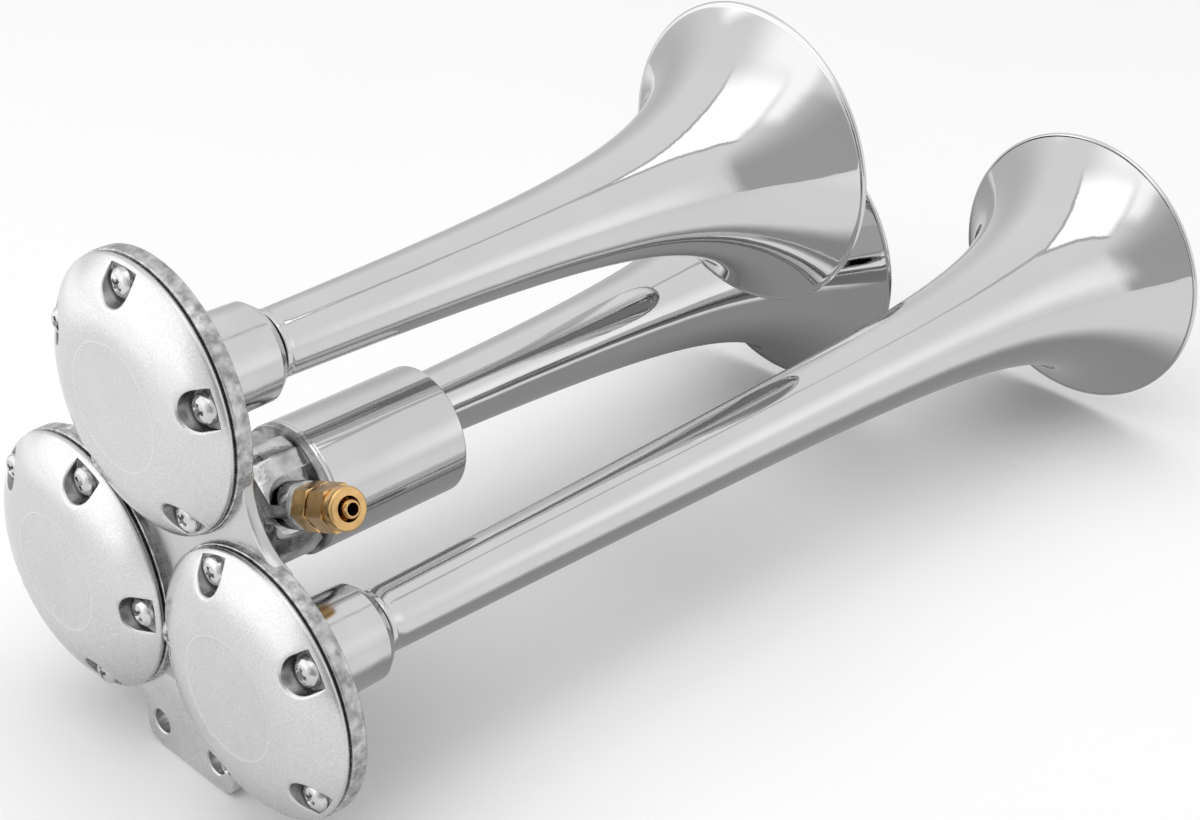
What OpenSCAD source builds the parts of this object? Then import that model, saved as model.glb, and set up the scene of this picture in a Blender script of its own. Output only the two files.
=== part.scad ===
// Triple air horn: three trumpets of different length screwed into one cast manifold.
// X runs along the trumpets towards the bells, Z is up and Y is to the left seen from the covers.
// The origin is midway between the mounting holes, on the back of the tab, where a bracket bears.
// The planes along X below are counted from the plane where the covers meet the manifold.

/* [Manifold] */
// Diameter of each round flange
flange_d = 85; // [80:0.5:88]
// Distance between two trumpet axes
axis_pitch = 87.4; // [86:0.2:92]
// Distance between the two mounting holes
mount_pitch = 28; // [24:1:32]
// Diameter of a mounting hole
mount_hole_d = 8; // [6:0.5:9]
// Outer diameter of a trumpet boss
boss_d = 30.8; // [28:0.2:34]

/* [Trumpets] */
// Length of the top trumpet, from the covers' plane to the bell's rim
top_length = 245.7; // [220:0.1:300]
// Length of the left trumpet
left_length = 319.1; // [300:0.1:360]
// Length of the right trumpet
right_length = 389.6; // [340:0.1:440]
// Outer diameter of a bell's rim
bell_d = 105.4; // [96:0.1:112]
// Wall of a trumpet
horn_wall = 1.6; // [1.2:0.1:2]

/* [Covers] */
// How far a cover's dome stands out
dome_height = 10.8; // [9:0.1:12]
// Diameter of the flat centre of a cover
dome_flat_d = 38; // [30:1:42]
// Number of screws round a cover
screw_count = 5; // [4:1:6]

/* [Valve and inlet] */
// Outer diameter of the valve's canister
canister_d = 42; // [38:1:44]
// Length of the canister
canister_length = 51.5; // [46:0.5:60]
// Angle of the inlet above the horizontal
inlet_angle = 22; // [15:1:30]
// Width across the flats of the brass hexagons
hex_flats = 13; // [12:0.5:14]

/* [Hidden] */
$fn = 96;
eps = 0.01;

// Colours
chrome = [0.82, 0.83, 0.85];
cast_chrome = [0.74, 0.75, 0.77];
black_rubber = [0.08, 0.08, 0.09];
spring_steel = [0.55, 0.57, 0.60];
brass = [0.80, 0.62, 0.28];

// Layout: each entry is the angle of a trumpet's axis round the centre line, in the Y-Z plane
TOP = 90;
LEFT = -30;
RIGHT = 210;
axis_r = axis_pitch / sqrt(3);
// The first screw of each cover points this way
top_phase = 90;
left_phase = 180;
right_phase = 0;

// Planes along X
flange_front = 0.5;
flange_back = 5.7;
flange_round = 0.7;
cover_seat = -0.4;
web_front = 2.7;
web_t = 4;
tab_t = 6.5;
boss_end = 39.3;
boss_edge = 36;
horn_start = 41.4;
block_front = 27;
block_flange = 45.5;
canister_front = 47.5;

// Flange and air chamber
flange_r = flange_d / 2;
chamber_r = 31;
chamber_core_r = 12;
chamber_floor = 4;
spigot_r = 9;
screw_circle_r = 36;
screw_d = 5;
screw_core_d = 4.4;

// Web between the flanges
web_offset = 30;
fillet_r = 20.5;
fillet_distance = 70;
tab_half_w = 22.1;
tab_bottom = -81.8;
tab_corner_r = 5;
mount_z = -72.4;

// Valve block
neck_r = 13.5;
block_r = 20;
block_flat = 19;
// Each corner between two flats: its angle from the inlet, and half the turn between the flats
block_corners = [[0, 28], [56, 28], [112, 28], [180, 40], [248, 28], [304, 28]];
valve_bore_r = 12;
chamber_back = 30;
seat_x = 33.5;
seat_r = 5.5;
outlet_r = 3.5;
gallery_x = 9.5;
gallery_r = 3;
rib_r = 6;
inlet_x = 35.5;
slot_r = 9;
slot_floor = 14.5;
inlet_boss_r = 7.3;
inlet_face = 26;
inlet_thread_r = 4.9;
inlet_thread_end = 17;
inlet_bore_r = 3.5;

// Trumpet
throat_r = 9.15;
flare_length = 91;
flare_power = 3;
flare_steps = 40;
bell_r = bell_d / 2;
spigot_bore_r = 5.4;
nose_r = 7.2;
neck_step = 1;
neck_bore_r = 7;
throat_x = 45;
rim_bead_r = 1;
top_taper = 0.0055;
left_taper = 0.009;
right_taper = 0.0121;

// Cover
dome_flat_r = dome_flat_d / 2;
cover_wall = 2.4;
cover_cavity_r = 28;
pocket_r = 5.8;
pocket_end_r = 40.8;
pocket_floor = -2.4;
dome_end_r = 41.55;
dome_end_x = -2;
dome_steps = 14;
rim_round = 1.4;

// Diaphragm stack
diaphragm_r = 41.2;
diaphragm_t = 0.4;

// Canister and valve
canister_r = canister_d / 2;
canister_back = canister_front + canister_length;
canister_wall = 1.5;
bobbin_front = canister_front + 1;
bobbin_back = canister_back - 7;
guide_outer_r = 7.1;
guide_inner_r = 6.3;
guide_back = 71;
collar_front = 40.2;
plunger_r = 6;
plunger_back = 66;
plunger_clearance = 0.1;
core_front = 69.5;
stud_r = 3;
spring_r = 3.4;
spring_wire_r = 0.45;
spring_pocket_r = 4.3;
spring_front = 54;
spring_turns = 6;
grommet_offset = 13;

// Inlet fitting
hex_r = hex_flats / sqrt(3);
hex_chamfer_r = 0.48 * hex_flats;
body_hex_start = 27.2;
body_hex_end = 34;
nut_start = 35;
nut_hex_end = 43;
nut_end = 47;
nut_collar_r = 6.6;
nut_bore_r = 3.85;
stem_r = 2.7;
stem_bore_r = 1.9;
stem_end = 49;

// Points of an arc round [cx, cy], from angle a to angle b in n steps
function arc(cx, cy, r, a, b, n) =
  [for (i = [0:n]) [cx + r * cos(a + (b - a) * i / n), cy + r * sin(a + (b - a) * i / n)]];

// Outer radius of a trumpet at x: a slow taper, and a flare that gathers pace towards the rim
function horn_r(x, length, taper) =
  throat_r + taper * x
  + (bell_r - throat_r - taper * length) / pow(1 + (length - x) / flare_length, flare_power);

// Slope of the trumpet's outer surface at x
function horn_slope(x, length, taper) =
  horn_r(x, length, taper) - horn_r(x - 1, length, taper);

// Inner radius of a trumpet at x, at one wall thickness square to the surface
function horn_bore(x, length, taper) =
  horn_r(x, length, taper) - horn_wall * sqrt(1 + pow(horn_slope(x, length, taper), 2));

// Places along a trumpet, closer together towards the bell
function horn_x(i, length) = horn_start + (length - horn_start) * (1 - pow(1 - i / flare_steps, 1.7));

// Arc of a cover's dome, from the flat centre to the rounded rim, and the middle of the rim's own round
dome_run = dome_end_r - dome_flat_r;
dome_drop = dome_height + dome_end_x;
dome_r = (dome_run * dome_run + dome_drop * dome_drop) / (2 * dome_drop);
dome_sweep = asin(dome_run / dome_r);
rim_centre_r = dome_end_r - rim_round * sin(dome_sweep);
rim_centre_x = dome_end_x + rim_round * cos(dome_sweep);

// Turns a shape modelled along Z to lie along X
module along_x(x = 0) {
  translate([x, 0, 0])
    rotate([0, 90, 0])
      children();
}

// Extrudes a Y-Z outline along X
module sheet_x(x, t) {
  translate([x, 0, 0])
    rotate([90, 0, 90])
      linear_extrude(t)
        children();
}

// Carries a shape from the manifold's centre line to its place in the part's frame
module on_centre() {
  translate([-web_front - tab_t, 0, -mount_z])
    children();
}

// Moves a shape out from the centre line to the trumpet axis at the given angle
module out_to(angle) {
  translate([0, axis_r * cos(angle), axis_r * sin(angle)])
    children();
}

// Repeats a shape on all three trumpet axes
module on_each_axis() {
  for (angle = [TOP, LEFT, RIGHT])
    out_to(angle)
      children();
}

// Puts a shape on the trumpet axis at the given angle, in the part's frame
module on_axis(angle) {
  on_centre()
    out_to(angle)
      children();
}

// Repeats a shape at a cover's screws
module at_screws(phase) {
  for (i = [0:screw_count - 1])
    rotate([phase + i * 360 / screw_count, 0, 0])
      translate([0, screw_circle_r, 0])
        children();
}

// Puts a shape modelled along Z on the inlet's axis, with Z pointing outwards
module on_inlet() {
  translate([inlet_x, 0, 0])
    rotate([90 - inlet_angle, 0, 0])
      children();
}

// Outline of the web that joins the flanges
module web_outline() {
  difference() {
    polygon([for (a = [TOP, RIGHT, LEFT + 360]) for (side = [-60, 60])
      [axis_r * cos(a) + web_offset * cos(a + side), axis_r * sin(a) + web_offset * sin(a + side)]]);
    for (a = [30, 150])
      rotate(a)
        translate([fillet_distance, 0])
          circle(r = fillet_r);
  }
}

// Outline of the mounting tab, with rounded corners and fillets into the flanges
module tab_outline() {
  fillet = 5;
  reach = sqrt(pow(flange_r + fillet, 2) - pow(axis_pitch / 2 - tab_half_w - fillet, 2));
  fillet_z = -axis_r / 2 - reach;
  lean = atan2(reach, axis_pitch / 2 - tab_half_w - fillet);
  right_side = concat(
    arc(tab_half_w - tab_corner_r, tab_bottom + tab_corner_r, tab_corner_r, -90, 0, 8),
    arc(tab_half_w + fillet, fillet_z, fillet, 180, lean, 8),
    [[axis_pitch / 2 - 6, -axis_r]]);
  left_side = [for (i = [len(right_side) - 1:-1:0]) [-right_side[i][0], right_side[i][1]]];
  polygon(concat(right_side, left_side));
}

// Round flange with softened edges
module flange() {
  along_x()
    rotate_extrude()
      polygon(concat(
        [[0, flange_front]],
        arc(flange_r - flange_round, flange_front + flange_round, flange_round, -90, 0, 3),
        arc(flange_r - flange_round, flange_back - flange_round, flange_round, 0, 90, 3),
        [[0, flange_back]]));
}

// Boss that holds a trumpet: slight draft, a rounded edge and a chamfered end
module boss() {
  along_x()
    rotate_extrude()
      polygon(concat(
        [[0, web_front + 1], [boss_d / 2 + 0.9, web_front + 1], [boss_d / 2 + 0.6, flange_back + 1]],
        arc(boss_d / 2 - 0.8, boss_edge - 0.4, 0.8, 0, 60, 4),
        [[13.3, boss_end], [0, boss_end]]));
}

// Valve block: neck, galleries' ribs, the body with its flats and the rough flange of the canister
module valve_block() {
  along_x(web_front + 1)
    cylinder(r = neck_r, h = block_front - web_front);
  for (a = [TOP, LEFT, RIGHT])
    rotate([a, 0, 0])
      translate([gallery_x - 0.5, 0, 0])
        rotate([-90, 0, 0])
          cylinder(r = rib_r, h = axis_r);
  difference() {
    intersection() {
      along_x(block_front)
        cylinder(r = block_r, h = block_flange + 1 - block_front);
      rotate([-inlet_angle, 0, 0])
        sheet_x(block_front - 1, block_flange + 3 - block_front)
          rotate(180)
            polygon([for (corner = block_corners) let (r = block_flat / cos(corner[1]))
              [r * cos(corner[0]), r * sin(corner[0])]]);
    }
    inlet_slot();
  }
  along_x(block_flange)
    cylinder(r = canister_r, h = canister_front - block_flange);
}

// Slot round the inlet, round at the covers' end and open towards the canister
module inlet_slot() {
  on_inlet()
    translate([0, 0, slot_floor]) {
      cylinder(r = slot_r, h = block_r);
      translate([0, -slot_r, 0])
        cube([block_flange - inlet_x, 2 * slot_r, block_r]);
    }
}

module manifold() {
  color(cast_chrome)
    on_centre()
      difference() {
        union() {
          sheet_x(web_front, web_t)
            web_outline();
          sheet_x(web_front, tab_t)
            tab_outline();
          on_each_axis()
            flange();
          on_each_axis()
            boss();
          valve_block();
          on_inlet()
            translate([0, 0, slot_floor - 2])
              cylinder(r = inlet_boss_r, h = inlet_face - slot_floor + 2);
        }
        on_each_axis()
          air_chamber();
        on_each_axis()
          along_x(-1)
            cylinder(r = spigot_r, h = boss_end + 2);
        for (set = [[TOP, top_phase], [LEFT, left_phase], [RIGHT, right_phase]])
          out_to(set[0])
            at_screws(set[1])
              along_x(flange_front - 1)
                cylinder(d = screw_core_d, h = flange_back, $fn = 24);
        for (side = [-1, 1])
          translate([web_front - 1, side * mount_pitch / 2, mount_z])
            along_x()
              cylinder(d = mount_hole_d, h = tab_t + 2, $fn = 48);
        valve_passages();
      }
}

// Ring-shaped air chamber behind a diaphragm
module air_chamber() {
  along_x(-1)
    difference() {
      cylinder(r = chamber_r, h = chamber_floor + 1);
      translate([0, 0, 3])
        cylinder(r = chamber_core_r, h = chamber_floor);
    }
}

// Air ways: the inlet, the valve's chamber round its seat, the outlet and a gallery to each chamber
module valve_passages() {
  difference() {
    along_x(chamber_back)
      cylinder(r = valve_bore_r, h = canister_front - chamber_back + 1);
    along_x(chamber_back - 1)
      cylinder(r = seat_r, h = seat_x - chamber_back + 1);
  }
  along_x(gallery_x - gallery_r - 0.5)
    cylinder(r = outlet_r, h = block_flange - gallery_x, $fn = 48);
  for (a = [TOP, LEFT, RIGHT])
    rotate([a, 0, 0])
      translate([gallery_x, 0, 0])
        rotate([-90, 0, 0])
          cylinder(r = gallery_r, h = axis_r - chamber_r + 6, $fn = 32);
  for (a = [TOP, LEFT, RIGHT])
    rotate([a, 0, 0])
      translate([0, axis_r - chamber_r + 4, 0])
        along_x(chamber_floor - 1)
          cylinder(r = 2.5, h = gallery_x - chamber_floor + 1, $fn = 32);
  on_inlet()
    translate([0, 0, valve_bore_r - 2])
      cylinder(r = inlet_bore_r, h = inlet_face - valve_bore_r, $fn = 48);
  on_inlet()
    translate([0, 0, inlet_thread_end])
      cylinder(r = inlet_thread_r, h = inlet_face + 1 - inlet_thread_end, $fn = 48);
}

// Domed cover with a flat centre, a hollow back and a pocket for each screw
module cover(phase) {
  arc_centre_x = -dome_height + dome_r;
  color(chrome)
    difference() {
      along_x()
        rotate_extrude()
          polygon(concat(
            [[0, -dome_height]],
            [for (i = [0:dome_steps]) let (a = dome_sweep * i / dome_steps)
              [dome_flat_r + dome_r * sin(a), arc_centre_x - dome_r * cos(a)]],
            arc(rim_centre_r, rim_centre_x, rim_round, dome_sweep - 75, 0, 4),
            [[rim_centre_r + rim_round, cover_seat], [cover_cavity_r, cover_seat]],
            [for (i = [4:-1:0]) let (a = 14 * i / 4)
              [dome_flat_r + (dome_r - cover_wall) * sin(a), arc_centre_x - (dome_r - cover_wall) * cos(a)]],
            [[0, cover_wall - dome_height]]));
      intersection() {
        along_x(-dome_height)
          cylinder(r = pocket_end_r, h = dome_height + pocket_floor);
        at_screws(phase)
          pocket();
      }
      at_screws(phase)
        along_x(-dome_height)
          cylinder(d = screw_d + 0.5, h = dome_height + 1, $fn = 24);
    }
}

// Space round a cover screw, open towards the rim
module pocket() {
  along_x(-dome_height - 1)
    cylinder(r = pocket_r, h = dome_height + 1, $fn = 48);
  translate([-dome_height - 1, 0, -pocket_r])
    cube([dome_height + 1, pocket_r, 2 * pocket_r]);
}

module top_cover() {
  on_axis(TOP)
    cover(top_phase);
}

module left_cover() {
  on_axis(LEFT)
    cover(left_phase);
}

module right_cover() {
  on_axis(RIGHT)
    cover(right_phase);
}

// Thin steel disc that vibrates against the trumpet's nose
module diaphragm(phase) {
  color(spring_steel)
    difference() {
      along_x(-diaphragm_t)
        cylinder(r = diaphragm_r, h = diaphragm_t);
      at_screws(phase)
        along_x(-1)
          cylinder(d = screw_d + 0.5, h = 2, $fn = 24);
    }
}

module top_diaphragm() {
  on_axis(TOP)
    diaphragm(top_phase);
}

module left_diaphragm() {
  on_axis(LEFT)
    diaphragm(left_phase);
}

module right_diaphragm() {
  on_axis(RIGHT)
    diaphragm(right_phase);
}

// Rubber ring between the diaphragm and the flange
module gasket(phase) {
  color(black_rubber)
    difference() {
      along_x()
        cylinder(r = diaphragm_r, h = flange_front);
      along_x(-1)
        cylinder(r = chamber_r, h = 3);
      at_screws(phase)
        along_x(-1)
          cylinder(d = screw_d + 0.5, h = 3, $fn = 24);
    }
}

module top_gasket() {
  on_axis(TOP)
    gasket(top_phase);
}

module left_gasket() {
  on_axis(LEFT)
    gasket(left_phase);
}

module right_gasket() {
  on_axis(RIGHT)
    gasket(right_phase);
}

// Pan head screw with a cross recess, its head's seat in the plane x = 0
module screw() {
  head_r = 4.6;
  head_h = 3.2;
  along_x()
    rotate_extrude($fn = 32)
      polygon([[0, -head_h], [2.6, -head_h], [3.9, -head_h + 0.5], [head_r, -head_h + 1.5],
        [head_r, 0], [screw_core_d / 2, 0], [screw_core_d / 2, 7.4], [0, 7.4]]);
}

module cross_recess() {
  for (turn = [0, 90])
    rotate([turn, 0, 0])
      translate([-4, -2.3, -0.5])
        cube([2.4, 4.6, 1]);
}

module cover_screws() {
  color(chrome)
    for (set = [[TOP, top_phase], [LEFT, left_phase], [RIGHT, right_phase]])
      on_axis(set[0])
        at_screws(set[1])
          translate([pocket_floor, 0, 0])
            difference() {
              screw();
              rotate([20, 0, 0])
                cross_recess();
            }
}

// Trumpet: threaded spigot with its nose on the diaphragm, tapered tube, and a flared bell with a beaded rim
module trumpet(length, taper) {
  neck_r = spigot_r - neck_step;
  tube_r = horn_r(horn_start, length, taper);
  inner_turn = 180 - atan(horn_slope(length, length, taper));
  color(chrome)
    along_x()
      rotate_extrude()
        polygon(concat(
          [[spigot_bore_r, 0], [nose_r, 0], [nose_r + 0.5, 1], [nose_r + 0.5, 5], [spigot_r, 6.5],
            [spigot_r, boss_end - 1.5], [neck_r, boss_end - 0.5], [neck_r, horn_start],
            [tube_r + 0.3, horn_start], [tube_r + 0.3, horn_start + 1.6], [tube_r, horn_start + 2.2]],
          [for (i = [1:flare_steps - 3]) let (x = horn_x(i, length)) [horn_r(x, length, taper), x]],
          arc(bell_r - rim_bead_r, length, rim_bead_r, -75, inner_turn, 8),
          [for (i = [flare_steps - 2:-1:1]) let (x = horn_x(i, length)) [horn_bore(x, length, taper), x]],
          [[horn_bore(throat_x, length, taper), throat_x], [neck_bore_r, boss_end + 1.2],
            [spigot_bore_r, 12]]));
}

module top_trumpet() {
  on_axis(TOP)
    trumpet(top_length, top_taper);
}

module left_trumpet() {
  on_axis(LEFT)
    trumpet(left_length, left_taper);
}

module right_trumpet() {
  on_axis(RIGHT)
    trumpet(right_length, right_taper);
}

// Rubber ring that seals the trumpet's shoulder against the boss
module throat_seal() {
  inner_r = spigot_r - neck_step + 0.05;
  color(black_rubber)
    along_x()
      rotate_extrude()
        polygon([[inner_r, boss_end], [spigot_r + 0.6, boss_end], [spigot_r + 1, boss_end + 0.5],
          [spigot_r + 1, horn_start - 0.5], [spigot_r + 0.6, horn_start], [inner_r, horn_start]]);
}

module top_throat_seal() {
  on_axis(TOP)
    throat_seal();
}

module left_throat_seal() {
  on_axis(LEFT)
    throat_seal();
}

module right_throat_seal() {
  on_axis(RIGHT)
    throat_seal();
}

// Steel can over the coil, closed at the back
module canister() {
  color(chrome)
    on_centre()
      difference() {
        along_x()
          rotate_extrude()
            polygon(concat(
              [[canister_r - canister_wall, canister_front], [canister_r - 0.5, canister_front],
                [canister_r, canister_front + 0.6]],
              arc(canister_r - 1.5, canister_back - 1.5, 1.5, 0, 90, 5),
              [[stud_r + 0.2, canister_back], [stud_r + 0.2, canister_back - canister_wall],
                [canister_r - canister_wall, canister_back - canister_wall]]));
        translate([0, 0, -grommet_offset])
          along_x(canister_back - 5)
            cylinder(r = 3.5, h = 10, $fn = 32);
      }
}

// Nut on the core's stud, which holds the can
module canister_nut() {
  color(chrome)
    on_centre()
      along_x(canister_back)
        difference() {
          cylinder(r = 5.8, h = 4.5, $fn = 6);
          translate([0, 0, -1])
            cylinder(r = stud_r, h = 8, $fn = 32);
        }
}

// Rubber bush in the can's back for the coil's leads
module cable_grommet() {
  color(black_rubber)
    on_centre()
      translate([0, 0, -grommet_offset])
        along_x()
          rotate_extrude($fn = 48)
            polygon([[1.6, canister_back - 3.5], [4.6, canister_back - 3.5],
              [4.6, canister_back - canister_wall], [3.5, canister_back - canister_wall],
              [3.5, canister_back], [4.6, canister_back], [4.2, canister_back + 1.6],
              [1.6, canister_back + 2]]);
}

// Spool that carries the coil
module coil_bobbin() {
  color([0.15, 0.15, 0.17])
    on_centre()
      along_x()
        rotate_extrude()
          polygon([[guide_outer_r + 0.2, bobbin_front], [18.8, bobbin_front], [18.8, bobbin_front + 1.5],
            [8.6, bobbin_front + 1.5], [8.6, bobbin_back - 1.5], [18.8, bobbin_back - 1.5],
            [18.8, bobbin_back], [guide_outer_r + 0.2, bobbin_back]]);
}

// Copper winding on the spool
module coil_winding() {
  color([0.72, 0.38, 0.20])
    on_centre()
      along_x(bobbin_front + 1.5)
        difference() {
          cylinder(r = 17.8, h = bobbin_back - bobbin_front - 3);
          translate([0, 0, -1])
            cylinder(r = 8.6, h = bobbin_back);
        }
}

// Tube in which the plunger slides, screwed into the block by its collar
module guide_tube() {
  color(brass)
    on_centre()
      along_x()
        rotate_extrude()
          polygon([[guide_inner_r, collar_front], [valve_bore_r, collar_front],
            [valve_bore_r, canister_front], [guide_outer_r, canister_front],
            [guide_outer_r, guide_back], [guide_inner_r, guide_back]]);
}

// Fixed core at the back of the tube, with the stud that holds the can
module pole_core() {
  color(spring_steel)
    on_centre()
      along_x()
        rotate_extrude()
          polygon([[0, core_front], [guide_inner_r, core_front], [guide_inner_r, guide_back],
            [guide_outer_r, guide_back], [guide_outer_r, canister_back - canister_wall],
            [stud_r, canister_back - canister_wall], [stud_r, canister_back + 6.5],
            [0, canister_back + 6.5]]);
}

// Moving steel plunger, with a pocket for its seal in front and for the spring behind
module plunger() {
  front = seat_x + plunger_clearance;
  color(spring_steel)
    on_centre()
      along_x()
        rotate_extrude()
          polygon([[4.6, front + 0.6], [plunger_r - 0.6, front + 0.6], [plunger_r, front + 1.2],
            [plunger_r, plunger_back], [spring_pocket_r, plunger_back], [spring_pocket_r, spring_front],
            [0, spring_front], [0, front + 3], [4.6, front + 3]]);
}

// Rubber face of the plunger
module plunger_seal() {
  color(black_rubber)
    on_centre()
      along_x(seat_x + plunger_clearance)
        cylinder(r = 4.6, h = 3, $fn = 48);
}

// Point i of n round the spring's wire at the given turn angle
spring_sides = 8;
spring_rings = 72;
function spring_point(ring, side) =
  let (
    turn = 360 * spring_turns * ring / spring_rings,
    a = 360 * side / spring_sides,
    r = spring_r + spring_wire_r * cos(a),
    lead = (core_front - spring_front - 2 * spring_wire_r - 0.1) * ring / spring_rings
  )
  [spring_front + 0.05 + spring_wire_r + lead + spring_wire_r * sin(a), r * cos(turn), r * sin(turn)];

// Helical spring that shuts the valve
module return_spring() {
  sides = spring_sides;
  color(spring_steel)
    on_centre()
      polyhedron(
        points = [for (ring = [0:spring_rings]) for (side = [0:sides - 1]) spring_point(ring, side)],
        faces = concat(
          [[for (side = [0:sides - 1]) side]],
          [[for (side = [sides - 1:-1:0]) spring_rings * sides + side]],
          [for (ring = [0:spring_rings - 1]) for (side = [0:sides - 1])
            [ring * sides + (side + 1) % sides, ring * sides + side,
              (ring + 1) * sides + side, (ring + 1) * sides + (side + 1) % sides]]));
}

// Sealing washer under the inlet fitting
module inlet_washer() {
  color([0.86, 0.86, 0.84])
    on_centre()
      on_inlet()
        translate([0, 0, inlet_face])
          difference() {
            cylinder(r = inlet_boss_r, h = body_hex_start - inlet_face);
            translate([0, 0, -1])
              cylinder(r = inlet_thread_r, h = 4);
          }
}

// Hexagon from z0 to z1 with its corners chamfered at both ends
module hexagon(z0, z1) {
  cut_r = hex_r + 0.5;
  cut_h = (cut_r - hex_chamfer_r) * tan(30);
  intersection() {
    translate([0, 0, z0])
      cylinder(r = hex_r, h = z1 - z0, $fn = 6);
    rotate_extrude()
      polygon([[0, z0], [hex_chamfer_r, z0], [cut_r, z0 + cut_h], [cut_r, z1 - cut_h],
        [hex_chamfer_r, z1], [0, z1]]);
  }
}

// Brass body: male thread, hexagon, nut thread and the stem that the hose is pushed over
module inlet_fitting() {
  color(brass)
    on_centre()
      on_inlet()
        difference() {
          union() {
            translate([0, 0, 17.5])
              cylinder(r = inlet_thread_r, h = body_hex_end - 17.5, $fn = 48);
            hexagon(body_hex_start, body_hex_end);
            translate([0, 0, body_hex_end - 1])
              cylinder(r = 5.2, h = 7, $fn = 48);
            translate([0, 0, body_hex_end])
              cylinder(r = stem_r, h = stem_end - body_hex_end, $fn = 48);
          }
          translate([0, 0, 16])
            cylinder(r = stem_bore_r, h = stem_end, $fn = 48);
        }
}

// Compression nut: hexagon behind, round collar in front
module compression_nut() {
  color(brass)
    on_centre()
      on_inlet()
        difference() {
          union() {
            hexagon(nut_start, nut_hex_end);
            rotate_extrude()
              polygon(concat([[0, nut_hex_end - 1], [nut_collar_r, nut_hex_end - 1]],
                arc(nut_collar_r - 1, nut_end - 1, 1, 0, 90, 5),
                [[0, nut_end]]));
          }
          translate([0, 0, nut_start - 1])
            cylinder(r = 5.2, h = 41.5 - nut_start, $fn = 48);
          translate([0, 0, nut_start])
            cylinder(r = nut_bore_r, h = nut_end, $fn = 48);
        }
}

manifold();
top_cover();
left_cover();
right_cover();
top_diaphragm();
left_diaphragm();
right_diaphragm();
top_gasket();
left_gasket();
right_gasket();
cover_screws();
top_trumpet();
left_trumpet();
right_trumpet();
top_throat_seal();
left_throat_seal();
right_throat_seal();
canister();
canister_nut();
cable_grommet();
coil_bobbin();
coil_winding();
guide_tube();
pole_core();
plunger();
plunger_seal();
return_spring();
inlet_washer();
inlet_fitting();
compression_nut();
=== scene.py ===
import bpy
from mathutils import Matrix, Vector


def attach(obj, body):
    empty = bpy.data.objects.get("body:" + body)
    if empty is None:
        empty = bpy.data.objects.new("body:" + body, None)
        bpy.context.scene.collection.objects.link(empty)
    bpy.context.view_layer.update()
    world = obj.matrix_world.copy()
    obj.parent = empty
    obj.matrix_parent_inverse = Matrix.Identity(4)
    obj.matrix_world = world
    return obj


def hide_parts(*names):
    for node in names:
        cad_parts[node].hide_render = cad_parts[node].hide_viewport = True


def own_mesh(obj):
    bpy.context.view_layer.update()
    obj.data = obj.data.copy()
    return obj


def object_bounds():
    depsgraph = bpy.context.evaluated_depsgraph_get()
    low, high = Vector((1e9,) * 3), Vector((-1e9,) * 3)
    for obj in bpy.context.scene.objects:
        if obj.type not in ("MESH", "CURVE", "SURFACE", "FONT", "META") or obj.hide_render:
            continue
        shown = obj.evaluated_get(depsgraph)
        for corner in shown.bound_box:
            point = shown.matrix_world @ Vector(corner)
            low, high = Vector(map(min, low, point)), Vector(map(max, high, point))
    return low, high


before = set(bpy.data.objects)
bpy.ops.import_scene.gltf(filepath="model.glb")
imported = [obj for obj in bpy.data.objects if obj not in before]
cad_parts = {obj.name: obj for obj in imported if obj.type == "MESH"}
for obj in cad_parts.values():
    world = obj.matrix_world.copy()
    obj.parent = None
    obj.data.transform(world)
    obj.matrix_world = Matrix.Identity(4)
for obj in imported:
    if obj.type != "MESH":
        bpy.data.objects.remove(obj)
CAD_BOX = [list(v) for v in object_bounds()]

import math
import random

import bmesh
import bpy
from mathutils import Matrix, Vector
from mathutils.geometry import delaunay_2d_cdt

MM = 0.001
BODY = "horn"
TINY = 1e-6

# Sizes in millimetres, with planes along X counted from the covers' plane as in the part
BACK_SHIFT = -9.2
CENTRE_Z = 72.4
PITCH = 87.4
AXIS_R = PITCH / math.sqrt(3)
AXES = {"top": 90, "left": -30, "right": 210}
PHASES = {"top": 90, "left": 180, "right": 0}
LENGTHS = {"top": 245.7, "left": 319.1, "right": 389.6}
TAPERS = {"top": 0.0055, "left": 0.009, "right": 0.0121}
INLET_X = 35.5
INLET_ANGLE = math.radians(22)
FLANGE_R = 42.5
CAN_R = 21.0


# Places

SCALE = Matrix.Diagonal((MM, MM, MM, 1))
LOCAL = Matrix.Identity(4)
CENTRE = SCALE @ Matrix.Translation((BACK_SHIFT, 0, CENTRE_Z))
OUT = Vector((0, -math.cos(INLET_ANGLE), math.sin(INLET_ANGLE)))
SIDE = OUT.cross(Vector((1, 0, 0)))
# A shape modelled along X lies along the inlet's axis, with its Y along the horn
INLET = CENTRE @ Matrix.Translation((INLET_X, 0, 0)) @ Matrix((
    (OUT.x, 1, SIDE.x, 0), (OUT.y, 0, SIDE.y, 0), (OUT.z, 0, SIDE.z, 0), (0, 0, 0, 1)))


def axis_matrix(name):
    """Puts a shape modelled along X, in millimetres, on a trumpet's axis in the part's frame."""
    a = math.radians(AXES[name])
    return SCALE @ Matrix.Translation(
        (BACK_SHIFT, AXIS_R * math.cos(a), CENTRE_Z + AXIS_R * math.sin(a)))


# Shapes

STRAIGHT = math.radians(176)
SIDE_SHARE = 0.48
SHORTEST_EDGE = 2e-8


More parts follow.
